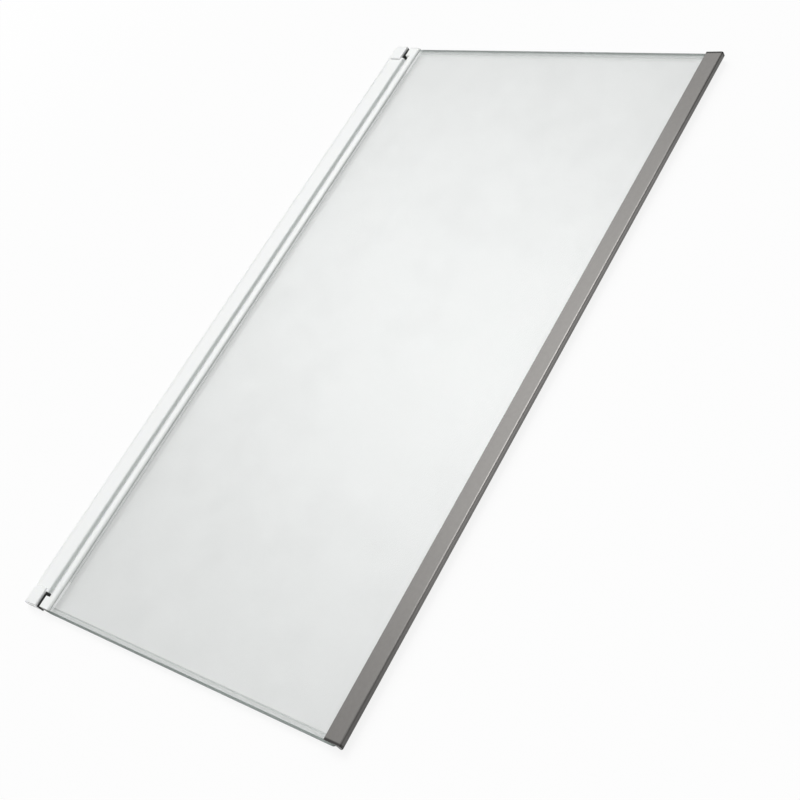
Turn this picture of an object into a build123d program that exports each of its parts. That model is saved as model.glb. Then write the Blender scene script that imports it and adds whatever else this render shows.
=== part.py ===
from build123d import *
import math
import os

# Fridge glass shelf: a toughened glass pane held between two push-on trims.
# X runs along the shelf, Y from the front edge to the rear edge, Z up.
# The origin is the middle of the footprint, on the plane that the shelf lies on.

# Glass pane
glass_length = 474.0
glass_depth = 242.3
glass_thickness = 4.0
glass_corner_radius = 3.0
glass_edge_seam = 1.0

# How both trims hold the pane
lip_thickness = 1.3
base_thickness = 1.7
edge_gap = 0.3
face_play = 0.15
grip_width = 1.6
lip_edge_radius = 0.4
rail_notch_length = 22.0

# Front trim
front_wall = 4.5
front_cover = 6.8
front_under = 8.0
front_setback = 0.6
nose_rise = 0.4
nose_height = 3.5
nose_undercut = 3.5
nose_top_radius = 1.0
nose_bottom_radius = 1.2
foot_radius = 0.8

# Rear trim
rear_wall = 1.6
rear_cover = 4.9
rear_under = 3.0
channel_setback = 0.6
lip_slope_width = 1.6
lip_crown_radius = 5.0
lip_tip_height = 0.3
lip_tip_radius = 0.2
groove_width = 2.2
groove_depth = 2.6
groove_front_radius = 2.2
groove_rear_radius = 1.6
ledge_wall = 1.8
ledge_flat = 11.5
rib_thickness = 1.2
rib_pitch = 44.0

# Lugs at the rear corners
lug_length = 12.5
lug_rise = 1.0
lug_overhang = 1.8
lug_corner_radius = 3.0
lug_edge_radius = 0.8
slot_length = 10.5
slot_width = 2.8

# Heights
glass_bottom = base_thickness
glass_top = glass_bottom + glass_thickness
trim_top = glass_top + lip_thickness

# Places from front to rear; the round back of the ledge is as deep as the trim is high
overall_depth = (front_wall + glass_depth + 2 * edge_gap + rear_wall
                 + groove_width + ledge_flat + trim_top)
front_face = -overall_depth / 2
front_wall_inner = front_face + front_wall
glass_front = front_wall_inner + edge_gap
glass_rear = glass_front + glass_depth
rear_wall_inner = glass_rear + edge_gap
rear_wall_outer = rear_wall_inner + rear_wall
groove_rear = rear_wall_outer + groove_width
back_centre = groove_rear + ledge_flat
rear_face = back_centre + trim_top
half_length = glass_length / 2


def block(x, y, z):
    """Box between the given pairs of lowest and highest values."""
    size = Box(x[1] - x[0], y[1] - y[0], z[1] - z[0], align=(Align.MIN, Align.MIN, Align.MIN))
    return Pos(x[0], y[0], z[0]) * size


def end_pair(x, y, z):
    """The same block at both ends of the shelf; x is measured inwards from the end."""
    right = block((half_length - x[1], half_length - x[0]), y, z)
    return [right, mirror(right, about=Plane.YZ)]


def along_shelf(outline, length):
    """Solid of a front-to-rear section, given as (y, z) edges, centred on the shelf's middle."""
    return extrude(Plane.YZ * make_face(outline), amount=length / 2, both=True)


def channel(lip_tip, under_tip, wall):
    """Inside of a trim in section: loose round the pane, touching it only along the two lips."""
    grip = math.copysign(grip_width, wall - lip_tip)
    return Polyline(
        (lip_tip, glass_top), (lip_tip + grip, glass_top),
        (lip_tip + grip, glass_top + face_play), (wall, glass_top + face_play),
        (wall, glass_bottom - face_play), (under_tip + grip, glass_bottom - face_play),
        (under_tip + grip, glass_bottom), (under_tip, glass_bottom))


def make_glass_pane():
    plan = RectangleRounded(glass_length, glass_depth, glass_corner_radius)
    pane = Pos(0, (glass_front + glass_rear) / 2, glass_bottom) * extrude(plan, glass_thickness)
    rims = pane.edges().filter_by(Plane.XY)
    return chamfer(rims, glass_edge_seam)


def make_front_trim():
    lip_tip = glass_front + front_cover
    under_tip = glass_front + front_under

    # Channel with a nose that stands a little higher than the lip, undercut for the fingers
    nose_top = trim_top + nose_rise
    outside = FilletPolyline(
        (under_tip, glass_bottom), (under_tip, 0), (front_face + nose_undercut, 0),
        (front_face, nose_top - nose_height), (front_face, nose_top),
        (lip_tip, trim_top), (lip_tip, glass_top),
        radius=[lip_edge_radius, foot_radius, nose_bottom_radius, nose_top_radius, lip_edge_radius])
    section = [outside, channel(lip_tip, under_tip, front_wall_inner)]
    body = along_shelf(section, glass_length - 2 * front_setback)

    lower_lip = (front_wall_inner, under_tip)
    for notch in end_pair((0, rail_notch_length), lower_lip, (0, glass_bottom)):
        body -= notch
    return body


def back_arc(radius):
    """Quarter round of the ledge's back, from the foot up to the top."""
    return CenterArc((back_centre, 0), radius, 0, 90)


def rear_section(lip_tip, under_tip):
    """Channel for the glass with a solid round-backed ledge behind it."""
    foot = Polyline((under_tip, glass_bottom), (under_tip, 0), (rear_face, 0))
    top = FilletPolyline(
        (back_centre, trim_top), (lip_tip + lip_slope_width, trim_top),
        (lip_tip, glass_top + lip_tip_height), (lip_tip, glass_top),
        radius=[lip_crown_radius, lip_tip_radius])
    return [foot, back_arc(trim_top), top, channel(lip_tip, under_tip, rear_wall_inner)]


def ledge_pocket(length):
    """One bay of the hollow under the ledge, stepped round the groove's floor."""
    hollow_top = trim_top - ledge_wall
    hollow_low = hollow_top - groove_depth
    leg_rear = groove_rear + ledge_wall
    front_side = Polyline(
        (back_centre, hollow_top), (leg_rear, hollow_top), (leg_rear, hollow_low),
        (rear_wall_outer, hollow_low), (rear_wall_outer, 0), (back_centre + hollow_top, 0))
    return along_shelf([front_side, back_arc(hollow_top)], length)


def groove(length):
    """Groove behind the lip, with both of its rims rounded over."""
    floor = trim_top - groove_depth
    front_rim = rear_wall_outer - groove_front_radius
    rear_rim = groove_rear + groove_rear_radius
    front_start = trim_top - groove_front_radius
    rear_start = trim_top - groove_rear_radius
    sides = [
        CenterArc((front_rim, front_start), groove_front_radius, 0, 90),
        Polyline((rear_wall_outer, front_start), (rear_wall_outer, floor),
                 (groove_rear, floor), (groove_rear, rear_start)),
        CenterArc((rear_rim, rear_start), groove_rear_radius, 90, 90),
        Line((front_rim, trim_top), (rear_rim, trim_top))]
    return along_shelf(sides, length)


def make_rear_trim():
    lip_tip = glass_rear - rear_cover
    under_tip = glass_rear - rear_under
    slot_rear = groove_rear + slot_width
    body = along_shelf(rear_section(lip_tip, under_tip), glass_length)

    # Raised lugs at the corners, rounded towards the rear
    lug_y = (slot_rear, back_centre + lug_overhang)
    for lug in end_pair((0, lug_length), lug_y, (trim_top / 2, trim_top + lug_rise)):
        lug = fillet(lug.edges().filter_by(Axis.Z).sort_by(Axis.Y)[-2:], lug_corner_radius)
        crown = lug.faces().sort_by(Axis.Z)[-1].edges()
        body += fillet(crown, lug_edge_radius)

    # Bays between thin ribs, closed by a wall at each end
    span = glass_length - 2 * ledge_wall
    bay_count = round(span / rib_pitch)
    bay_length = (span + rib_thickness) / bay_count - rib_thickness
    for index in range(bay_count):
        middle = (index - (bay_count - 1) / 2) * (bay_length + rib_thickness)
        body -= Pos(middle, 0, 0) * ledge_pocket(bay_length)

    # The groove runs out into an open slot beside each lug, walled off from the hollow
    slot_box = (rear_wall_outer, slot_rear + ledge_wall)
    for wall in end_pair((0, slot_length + ledge_wall), slot_box, (0, trim_top)):
        body += wall
    body -= groove(glass_length - 2 * slot_length + 2 * groove_width)
    for slot in end_pair((0, slot_length), (groove_rear, slot_rear), (0, trim_top + lug_rise)):
        body -= slot

    # The channel stops just short of the glass ends, and its lower lip makes room for the rails
    for end in end_pair((0, channel_setback), (lip_tip, groove_rear), (0, trim_top)):
        body -= end
    lower_lip = (under_tip, rear_wall_inner)
    for notch in end_pair((0, rail_notch_length), lower_lip, (0, glass_bottom)):
        body -= notch
    return body


os.makedirs("parts", exist_ok=True)
export_step(make_glass_pane(), "parts/glass_pane.step")
export_step(make_front_trim(), "parts/front_trim.step")
export_step(make_rear_trim(), "parts/rear_trim.step")
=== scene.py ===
import math
import bmesh
import bpy
from mathutils import Matrix, Vector


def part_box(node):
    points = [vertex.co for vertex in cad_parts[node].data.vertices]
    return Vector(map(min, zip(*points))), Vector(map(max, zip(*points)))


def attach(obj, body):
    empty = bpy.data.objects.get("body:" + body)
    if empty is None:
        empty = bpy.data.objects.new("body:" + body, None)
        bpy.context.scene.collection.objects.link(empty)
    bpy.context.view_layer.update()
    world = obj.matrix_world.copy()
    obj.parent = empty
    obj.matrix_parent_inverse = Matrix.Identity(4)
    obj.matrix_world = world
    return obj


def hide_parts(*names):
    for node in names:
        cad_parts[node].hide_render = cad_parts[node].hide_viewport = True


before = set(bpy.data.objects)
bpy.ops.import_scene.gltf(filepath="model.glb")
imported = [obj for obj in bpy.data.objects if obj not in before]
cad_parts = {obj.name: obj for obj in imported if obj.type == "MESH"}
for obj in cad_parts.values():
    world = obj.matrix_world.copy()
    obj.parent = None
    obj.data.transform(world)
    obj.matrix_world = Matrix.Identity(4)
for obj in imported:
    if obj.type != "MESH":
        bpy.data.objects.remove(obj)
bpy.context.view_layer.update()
print("frame loaded:", sorted(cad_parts))


# a shader socket that takes part in Python sums
class Wire:
    def __init__(self, tree, socket=None):
        self.tree = tree
        self.socket = socket

    # any node: its type, its settings, then values or links for its sockets
    def node(self, kind, settings=None, sockets=None, out=0):
        made = self.tree.nodes.new(kind)
        for name, value in (settings or {}).items():
            setattr(made, name, value)
        for name, value in (sockets or {}).items():
            if isinstance(value, Wire):
                self.tree.links.new(value.socket, made.inputs[name])
            else:
                made.inputs[name].default_value = value
        return Wire(self.tree, made.outputs[out]) if made.outputs else None

    def sum(self, operation, first, second=0.0):
        return self.node("ShaderNodeMath", {"operation": operation}, {0: first, 1: second})

    def __add__(self, other):
        return self.sum("ADD", self, other)

    def __radd__(self, other):
        return self.sum("ADD", other, self)

    def __sub__(self, other):
        return self.sum("SUBTRACT", self, other)

    def __rsub__(self, other):
        return self.sum("SUBTRACT", other, self)

    def __mul__(self, other):
        return self.sum("MULTIPLY", self, other)

    def __rmul__(self, other):
        return self.sum("MULTIPLY", other, self)

    def __pow__(self, other):
        return self.sum("POWER", self, other)

    def __abs__(self):
        return self.sum("ABSOLUTE", self)

    def atLeast(self, other):
        return self.sum("MAXIMUM", self, other)

    # 0 below low, 1 above high, smooth between
    def step(self, low, high):
        return self.node("ShaderNodeMapRange", {"interpolation_type": "SMOOTHSTEP"},
                         {"Value": self, "From Min": low, "From Max": high})

    def axis(self, letter):
        return self.node("ShaderNodeSeparateXYZ", None, {0: self}, letter)

    # the Mix node has its two colours on sockets 6 and 7, and its colour result on 2
    def mixColour(self, low, high):
        return self.node("ShaderNodeMix", {"data_type": "RGBA"}, {0: self, 6: low, 7: high}, 2)

    def noise(self, scale, detail=3.0):
        return self.node("ShaderNodeTexNoise", None,
                         {"Vector": self, "Scale": scale, "Detail": detail})


def colour(r, g, b):
    return (r, g, b, 1.0)


pureWhite = colour(1, 1, 1)


def newMaterial(name):
    material = bpy.data.materials.new(name)
    material.use_nodes = True
    material.node_tree.nodes.clear()
    return material, Wire(material.node_tree)


def showSurface(shader):
    shader.node("ShaderNodeOutputMaterial", None, {"Surface": shader})


# a finished bmesh becomes an object with one material
def makeObject(name, shape, material):
    mesh = bpy.data.meshes.new(name)
    shape.to_mesh(mesh)
    shape.free()
    mesh.materials.append(material)
    made = bpy.data.objects.new(name, mesh)
    bpy.context.scene.collection.objects.link(made)
    return made


# glass pane: clear faces, ground grey-green edges, a little haze, and painted shade beside the
# rear lip, in the tint and as a band of haze
paneSet = {
    "air": 0.00003,  # between each face and the lips, so that no two faces lie on each other
    "corner": 0.003,
    "cornerSteps": 8,
    "seam": 0.001,
    "tint": colour(0.928, 0.942, 0.935),
    "lipShadowTint": colour(0.922, 0.937, 0.929),
    "shadeRange": (0.090, 0.102),  # along Y, towards the rear lip: painted shadow of the lip in the tint
    "bend": 1.52,
    "flatLift": (0.93, 0.99),  # faces that lean more than this are ground
    "edgeDark": colour(0.24, 0.285, 0.27),
    "edgePale": colour(0.38, 0.435, 0.41),
    "edgeGrain": 900.0,
    "edgeRough": 0.55,
    "edgeClear": 0.5,
    "endShade": (0.2330, 0.2340),  # painted shade strip along both ends in the ground-edge finish, stronger on the right
    "endShadeLeft": 0.1,
    "endShadeRight": 0.42,
    "endShadeTurn": (-0.1, 0.1),
    "edgeShadeLine": 0.2334,  # painted faint shade line just inside both ends
    "edgeShadeLineHalf": (0.0002, 0.0005),
    "edgeShadeLineMost": 0.3,
    "haze": colour(0.80, 0.82, 0.81),
    "hazeRough": 0.4,
    "hazeSize": 16.0,
    "hazeDetail": 5.0,
    "hazeRange": (0.35, 0.75),
    "hazeMost": 0.03,
    "shadeBandRange": (0.1044, 0.1056),  # painted shade band of haze, along Y, up to the rear lip
    "shadeBandTop": (0.0030, 0.0045),  # along Z, so that only the upper face has it
    "shadeBandMost": 0.5,
}


def glassMaterial():
    material, sheet = newMaterial("clear_glass_look")
    place = sheet.node("ShaderNodeTexCoord", out="Object")
    x = place.axis("X")
    y = place.axis("Y")
    z = place.axis("Z")

    # the tint darkens towards the rear lip: painted shadow of the lip
    tint = y.step(*paneSet["shadeRange"]).mixColour(paneSet["tint"], paneSet["lipShadowTint"])
    clear = sheet.node("ShaderNodeBsdfPrincipled", None, {
        "Base Color": tint, "Roughness": 0.0, "IOR": paneSet["bend"], "Transmission Weight": 1.0})
    haze = sheet.node("ShaderNodeBsdfPrincipled", None, {
        "Base Color": paneSet["haze"], "Roughness": paneSet["hazeRough"], "IOR": paneSet["bend"]})
    edgeTone = place.noise(paneSet["edgeGrain"])
    edge = sheet.node("ShaderNodeBsdfPrincipled", None, {
        "Base Color": edgeTone.mixColour(paneSet["edgeDark"], paneSet["edgePale"]),
        "Roughness": paneSet["edgeRough"], "IOR": paneSet["bend"],
        "Transmission Weight": paneSet["edgeClear"]})

    # wiping marks all over, and by the lip a band of haze that paints the lip's shadow
    wiped = place.noise(paneSet["hazeSize"], paneSet["hazeDetail"]).step(*paneSet["hazeRange"])
    shadeBand = y.step(*paneSet["shadeBandRange"]) * z.step(*paneSet["shadeBandTop"]) * paneSet["shadeBandMost"]
    wipedAndShadeBand = wiped * paneSet["hazeMost"] + shadeBand
    face = sheet.node("ShaderNodeMixShader", None, {0: wipedAndShadeBand, 1: clear, 2: haze})

    # ground where the surface leans; the strip and the line along both ends are painted shade in
    # the ground-edge finish
    lift = abs(sheet.node("ShaderNodeNewGeometry", out="True Normal").axis("Z"))
    leaning = 1 - lift.step(*paneSet["flatLift"])
    rightward = x.step(*paneSet["endShadeTurn"]) * (paneSet["endShadeRight"] - paneSet["endShadeLeft"])
    endShade = abs(x).step(*paneSet["endShade"]) * (paneSet["endShadeLeft"] + rightward)
    offLine = abs(abs(x) - paneSet["edgeShadeLine"])
    edgeShadeLine = (1 - offLine.step(*paneSet["edgeShadeLineHalf"])) * paneSet["edgeShadeLineMost"]
    groundAndShade = leaning.atLeast(endShade.atLeast(edgeShadeLine))
    showSurface(sheet.node("ShaderNodeMixShader", None, {0: groundAndShade, 1: face, 2: edge}))
    return material


def bevelEdges(shape, edges, width, steps):
    bmesh.ops.bevel(shape, geom=edges, offset=width, offset_type="OFFSET",
                    affect="EDGES", segments=steps, profile=0.5, material=-1)


def edgeRise(edge):
    return abs(edge.verts[0].co.z - edge.verts[1].co.z)


def cutPane():
    low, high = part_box("glass_pane")
    size = high - low - Vector((0, 0, 2 * paneSet["air"]))
    shape = bmesh.new()
    bmesh.ops.create_cube(shape, size=1.0)
    bmesh.ops.scale(shape, verts=shape.verts, vec=size)
    bmesh.ops.translate(shape, verts=shape.verts, vec=(low + high) / 2)
    upright = [edge for edge in shape.edges if edgeRise(edge) > size.z / 2]
    bevelEdges(shape, upright, paneSet["corner"], paneSet["cornerSteps"])
    rims = [edge for edge in shape.edges if edgeRise(edge) < size.z / 2]
    bevelEdges(shape, rims, paneSet["seam"], 1)
    pane = makeObject("pane", shape, glassMaterial())
    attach(pane, "root")
    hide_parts("glass_pane")


# what both mouldings share: soft clouding, uneven gloss and a fine grain
def mouldedSkin(place, look):
    cloud = place.noise(look["cloud"])
    rough = look["roughLow"] + cloud * (look["roughHigh"] - look["roughLow"])
    grain = place.noise(look["grain"], look["grainDetail"])
    skin = place.node("ShaderNodeBump", None, {
        "Strength": look["grainStrength"], "Distance": look["grainDepth"], "Height": grain})
    return cloud, rough, skin


# front trim: warm grey satin moulding, with a painted highlight along the middle of its nose and
# painted shade on the nose's ends and on the cut ends
frontSet = {
    "grey": colour(0.163, 0.157, 0.15),
    "greyPale": colour(0.21, 0.203, 0.195),
    "metal": 0.65,
    "cloud": 35.0,
    "cloudShare": 0.4,  # the rest of the tone is mottle
    "mottle": 420.0,
    "noseHighlight": colour(0.26, 0.251, 0.241),
    "noseFrom": (0.1334, 0.1341),  # along -Y
    "noseLow": (0.0052, 0.0064),
    "noseEnds": (0.06, 0.22),
    "noseShade": colour(0.12, 0.116, 0.111),
    "noseShadeEnds": (0.13, 0.23),
    "cutEndShade": colour(0.04, 0.039, 0.037),  # painted shade on the cut ends
    "endFrom": (0.2348, 0.2354),
    "grain": 2600.0,
    "grainDetail": 2.0,
    "grainDepth": 0.00002,
    "grainStrength": 0.25,
    "roughLow": 0.27,
    "roughHigh": 0.34,
}


def frontMaterial():
    material, sheet = newMaterial("grey_plastic_look")
    place = sheet.node("ShaderNodeTexCoord", out="Object")
    cloud, rough, skin = mouldedSkin(place, frontSet)
    mottle = place.noise(frontSet["mottle"])
    tone = cloud * frontSet["cloudShare"] + mottle * (1 - frontSet["cloudShare"])
    grey = tone.mixColour(frontSet["grey"], frontSet["greyPale"])
    x = abs(place.axis("X"))
    nose = abs(place.axis("Y")).step(*frontSet["noseFrom"])
    noseTop = nose * place.axis("Z").step(*frontSet["noseLow"])
    # painted highlight on the nose's upper edge, fading out towards the ends
    noseMiddle = noseTop * (1 - x.step(*frontSet["noseEnds"]))
    grey = noseMiddle.mixColour(grey, frontSet["noseHighlight"])
    # painted shade on the nose towards both ends
    noseEnd = nose * x.step(*frontSet["noseShadeEnds"])
    grey = noseEnd.mixColour(grey, frontSet["noseShade"])
    # painted shade on the cut ends
    atEnd = x.step(*frontSet["endFrom"])
    showSurface(sheet.node("ShaderNodeBsdfPrincipled", None, {
        "Base Color": atEnd.mixColour(grey, frontSet["cutEndShade"]),
        "Metallic": frontSet["metal"], "Roughness": rough, "Normal": skin}))
    return material


# rear trim: milky white moulding, with painted shade at the lip's tip, in the groove, at the cuts
# and in the slots
rearSet = {
    "milk": colour(0.90, 0.917, 0.91),
    "milkPale": colour(0.92, 0.933, 0.927),
    "cloud": 28.0,
    "grain": 1900.0,
    "grainDetail": 2.0,
    "grainDepth": 0.00002,
    "grainStrength": 0.2,
    "roughLow": 0.28,
    "roughHigh": 0.36,
    "depth": 0.2,  # how much light goes under the skin
    "spread": 0.0008,
    "spreadRadii": (1.0, 1.0, 0.9),
    "tipShade": colour(0.52, 0.545, 0.535),
    "tipRange": (0.1070, 0.1100),  # along Y
    "tipLow": (0.0052, 0.0056),  # along Z
    "grooveShade": colour(0.57, 0.60, 0.59),
    "grooveFront": (0.1162, 0.1163),
    "grooveRear": (0.1162, 0.1184),
    "grooveLow": (0.0044, 0.0054),
    "channelCutShade": colour(0.20, 0.205, 0.20),  # painted shade on the ends of the channel
    "cutFrom": (0.23615, 0.23635),
    "cutRear": (0.1163, 0.1166),
    "slotShade": colour(0.08, 0.082, 0.08),
    "slotX": (0.2262, 0.2266),
    "slotFront": (0.1160, 0.1163),
    "slotRear": (0.1192, 0.1195),
    "slotTop": (0.0060, 0.0068),
}


def rearMaterial():
    material, sheet = newMaterial("milky_plastic_look")
    place = sheet.node("ShaderNodeTexCoord", out="Object")
    cloud, rough, skin = mouldedSkin(place, rearSet)
    milk = cloud.mixColour(rearSet["milk"], rearSet["milkPale"])
    x = abs(place.axis("X"))
    y = place.axis("Y")
    z = place.axis("Z")
    # painted shade on the lip's front slope, down to its tip
    atTip = (1 - y.step(*rearSet["tipRange"])) * z.step(*rearSet["tipLow"])
    milk = atTip.mixColour(milk, rearSet["tipShade"])
    # painted shade in the groove
    inGroove = (y.step(*rearSet["grooveFront"]) * (1 - y.step(*rearSet["grooveRear"]))
                * z.step(*rearSet["grooveLow"]))
    milk = inGroove.mixColour(milk, rearSet["grooveShade"])
    # painted shade on the ends of the channel
    atCut = x.step(*rearSet["cutFrom"]) * (1 - y.step(*rearSet["cutRear"]))
    milk = atCut.mixColour(milk, rearSet["channelCutShade"])
    # painted shade inside the end slots, nearly black
    inSlot = (x.step(*rearSet["slotX"]) * y.step(*rearSet["slotFront"])
              * (1 - y.step(*rearSet["slotRear"])) * (1 - z.step(*rearSet["slotTop"])))
    showSurface(sheet.node("ShaderNodeBsdfPrincipled", None, {
        "Base Color": inSlot.mixColour(milk, rearSet["slotShade"]),
        "Roughness": rough, "Normal": skin,
        "Subsurface Weight": rearSet["depth"], "Subsurface Scale": rearSet["spread"],
        "Subsurface Radius": rearSet["spreadRadii"]}))
    return material


# a CAD node keeps its mesh and gets a new material
def dress(node, material):
    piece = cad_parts[node]
    piece.data.materials.clear()
    piece.data.materials.append(material)


cutPane()
dress("front_trim", frontMaterial())
dress("rear_trim", rearMaterial())
print("pieces dressed")


# floor: white to the camera, mirrored in and seen through the glass, with the shadow kept
floorSet = {
    "half": 4.0,
    "drop": 0.00005,
    "white": colour(0.90, 0.90, 0.90),
    "glow": 1.0,
    "seenShare": 0.85,  # share of glow near the shelf; it rises to all of it over the fade
    "fade": (0.30, 0.90),
    "mirrorShare": 0.35,
    "throughShare": 0.15,
}


def floorMaterial():
    material, sheet = newMaterial("floor_look")
    seen = sheet.node("ShaderNodeLightPath", out="Is Camera Ray")
    mirror = sheet.node("ShaderNodeLightPath", out="Is Glossy Ray")
    through = sheet.node("ShaderNodeLightPath", out="Is Transmission Ray")
    place = sheet.node("ShaderNodeTexCoord", out="Object")
    away = sheet.node("ShaderNodeVectorMath", {"operation": "LENGTH"}, {0: place}, "Value")
    seenShare = floorSet["seenShare"] + away.step(*floorSet["fade"]) * (1 - floorSet["seenShare"])
    share = (seen * seenShare + mirror * floorSet["mirrorShare"]
             + through * floorSet["throughShare"])
    matt = sheet.node("ShaderNodeBsdfDiffuse", None, {"Color": floorSet["white"]})
    glow = sheet.node("ShaderNodeEmission", None, {
        "Color": pureWhite, "Strength": floorSet["glow"]})
    showSurface(sheet.node("ShaderNodeMixShader", None, {0: share, 1: matt, 2: glow}))
    return material


def layFloor():
    shape = bmesh.new()
    bmesh.ops.create_grid(shape, x_segments=1, y_segments=1, size=floorSet["half"])
    bmesh.ops.translate(shape, verts=shape.verts, vec=(0, 0, -floorSet["drop"]))
    floor = makeObject("floor", shape, floorMaterial())


layFloor()
print("floor laid")


# soft dome with three patches: a broad softbox and a higher key at the rear right, a weak fill
# in front; heading turns from the rear side towards +X, height is over the floor, in degrees
lightSet = {
    "low": 0.08,
    "high": 0.70,
    "rise": (-0.1, 1.0),
    "patches": {
        "softbox": {"heading": 34.0, "height": 45.0, "sharp": 36.0, "strength": 2.1},
        "key": {"heading": 60.0, "height": 62.0, "sharp": 50.0, "strength": 8.7},
        "fill": {"heading": 205.0, "height": 35.0, "sharp": 6.0, "strength": 0.4},
    },
}


# unit vector to a light
def towards(heading, height):
    turn = math.radians(heading)
    rise = math.radians(height)
    flat = math.cos(rise)
    return Vector((math.sin(turn) * flat, math.cos(turn) * flat, math.sin(rise)))


def patchGlow(ray, patch):
    middle = towards(patch["heading"], patch["height"])
    facing = ray.node("ShaderNodeVectorMath", {"operation": "DOT_PRODUCT"},
                      {0: ray, 1: middle}, "Value")
    return facing.atLeast(0.0) ** patch["sharp"] * patch["strength"]


def lightRoom():
    world = bpy.data.worlds.new("studio")
    bpy.context.scene.world = world
    world.use_nodes = True
    world.node_tree.nodes.clear()
    sheet = Wire(world.node_tree)
    ray = sheet.node("ShaderNodeTexCoord", out="Generated")
    upward = ray.axis("Z").step(*lightSet["rise"])
    room = lightSet["low"] + upward * (lightSet["high"] - lightSet["low"])
    for patch in lightSet["patches"].values():
        room = room + patchGlow(ray, patch)
    seen = sheet.node("ShaderNodeLightPath", out="Is Camera Ray")
    sky = sheet.node("ShaderNodeBackground", None, {
        "Color": pureWhite, "Strength": room * (1 - seen) + seen})
    sky.node("ShaderNodeOutputWorld", None, {"Surface": sky})


lightRoom()
print("lights hung")


# camera: high over the front left corner, tipped on its side
cameraSet = {
    "place": (-0.3123, -0.54045, 0.5416),
    "aim": (-0.0441, -0.05075, 0.0057),
    "roll": -38.54,
    "lens": 60.31,
    "sensor": 36.0,
    "near": 0.01,
}


def setCamera():
    lens = bpy.data.cameras.new("photo_view")
    lens.lens = cameraSet["lens"]
    lens.sensor_width = cameraSet["sensor"]
    lens.clip_start = cameraSet["near"]
    camera = bpy.data.objects.new("photo_view", lens)
    place = Vector(cameraSet["place"])
    turn = (Vector(cameraSet["aim"]) - place).to_track_quat("-Z", "Y").to_matrix().to_4x4()
    roll = Matrix.Rotation(math.radians(cameraSet["roll"]), 4, "Z")
    camera.matrix_world = Matrix.Translation(place) @ turn @ roll
    bpy.context.scene.collection.objects.link(camera)
    bpy.context.scene.camera = camera


setCamera()
bpy.context.scene.view_settings.view_transform = "Standard"
print("camera set")
